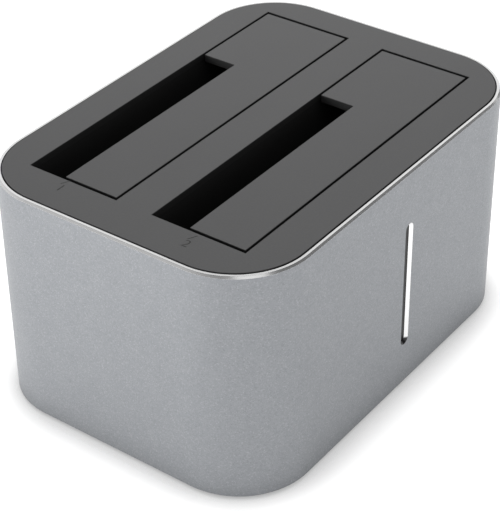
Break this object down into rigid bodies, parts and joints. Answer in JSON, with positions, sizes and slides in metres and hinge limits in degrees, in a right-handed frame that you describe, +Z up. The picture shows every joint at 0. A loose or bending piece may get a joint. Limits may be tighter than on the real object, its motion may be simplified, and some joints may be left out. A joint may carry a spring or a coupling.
{
  "type": "hard drive docking station",
  "caption": "Desktop dock for hard drives: anodised aluminium sleeve, dark plastic cover, open slots with L-shaped spring flaps, front light slot, rear inlets and buttons.",
  "frame": {"origin": "bottom centre, on the surface that the feet stand on", "axes": "+X to the right along the front face, +Z up; the front face with the light slot looks to -Y"},
  "size_m": [0.128, 0.0924, 0.0697],
  "materials": {
    "anodised_aluminium": "bead blasted, anodised silver",
    "cover_plastic": "fine matte grain, dark grey",
    "well_plastic": "matte black",
    "base_plastic": "matte black",
    "foot_rubber": "matte black",
    "steel": "zinc plated",
    "spring_steel": "drawn wire",
    "board_laminate": "green solder mask",
    "socket_plastic": "black",
    "contact_gold": "gold plated",
    "chip_plastic": "moulded",
    "can_aluminium": "satin",
    "ferrite": "pressed",
    "port_steel": "nickel plated",
    "panel_plastic": "matte black",
    "button_plastic": "matte grey",
    "smoked_plastic": "smoked",
    "led_resin": "clear"
  },
  "bodies": {
    "base": {"sleeve": "anodised_aluminium", "top_cover": "cover_plastic", "bay_frame": "well_plastic", "base_plate": "base_plastic", "foot_1": "foot_rubber", "foot_2": "foot_rubber", "foot_3": "foot_rubber", "foot_4": "foot_rubber", "case_screws": "steel", "cover_screws": "steel", "board_screws": "steel", "hinge_pin_1": "steel", "hinge_pin_2": "steel", "flap_spring_1": "spring_steel", "flap_spring_2": "spring_steel", "main_board": "board_laminate", "light_board": "board_laminate", "drive_socket_1": "socket_plastic", "drive_socket_2": "socket_plastic", "socket_contacts_1": "contact_gold", "socket_contacts_2": "contact_gold", "bridge_chip": "chip_plastic", "memory_chips": "chip_plastic", "capacitors": "can_aluminium", "inductors": "ferrite", "io_panel": "panel_plastic", "dc_jack": "socket_plastic", "dc_jack_pin": "port_steel", "usb_port": "port_steel", "usb_tongue": "socket_plastic", "power_switch": "socket_plastic", "clone_switch": "socket_plastic", "light_guide": "smoked_plastic", "status_leds": "led_resin"},
    "flap_1": {"flap_1": "cover_plastic"},
    "flap_2": {"flap_2": "cover_plastic"},
    "power_button": {"power_button": "button_plastic"},
    "clone_button": {"clone_button": "button_plastic"}
  },
  "joints": [
    {"name": "flap_1_hinge", "type": "hinge", "parent": "base", "child": "flap_1", "pos_m": [0.001, 0.0018, 0.06545], "axis": [-1, 0, 0], "range_deg": [0, 90], "stiffness_Nm_per_rad": 0.004, "springref_deg": -28.65},
    {"name": "flap_2_hinge", "type": "hinge", "parent": "base", "child": "flap_2", "pos_m": [0.001, -0.0378, 0.06545], "axis": [-1, 0, 0], "range_deg": [0, 90], "stiffness_Nm_per_rad": 0.004, "springref_deg": -28.65},
    {"name": "power_button_slide", "type": "slide", "parent": "base", "child": "power_button", "axis": [0, -1, 0], "range_m": [0, 0.0015], "stiffness_N_per_m": 300, "springref_m": -0.002},
    {"name": "clone_button_slide", "type": "slide", "parent": "base", "child": "clone_button", "axis": [0, -1, 0], "range_m": [0, 0.0008], "stiffness_N_per_m": 400, "springref_m": -0.001}
  ]
}
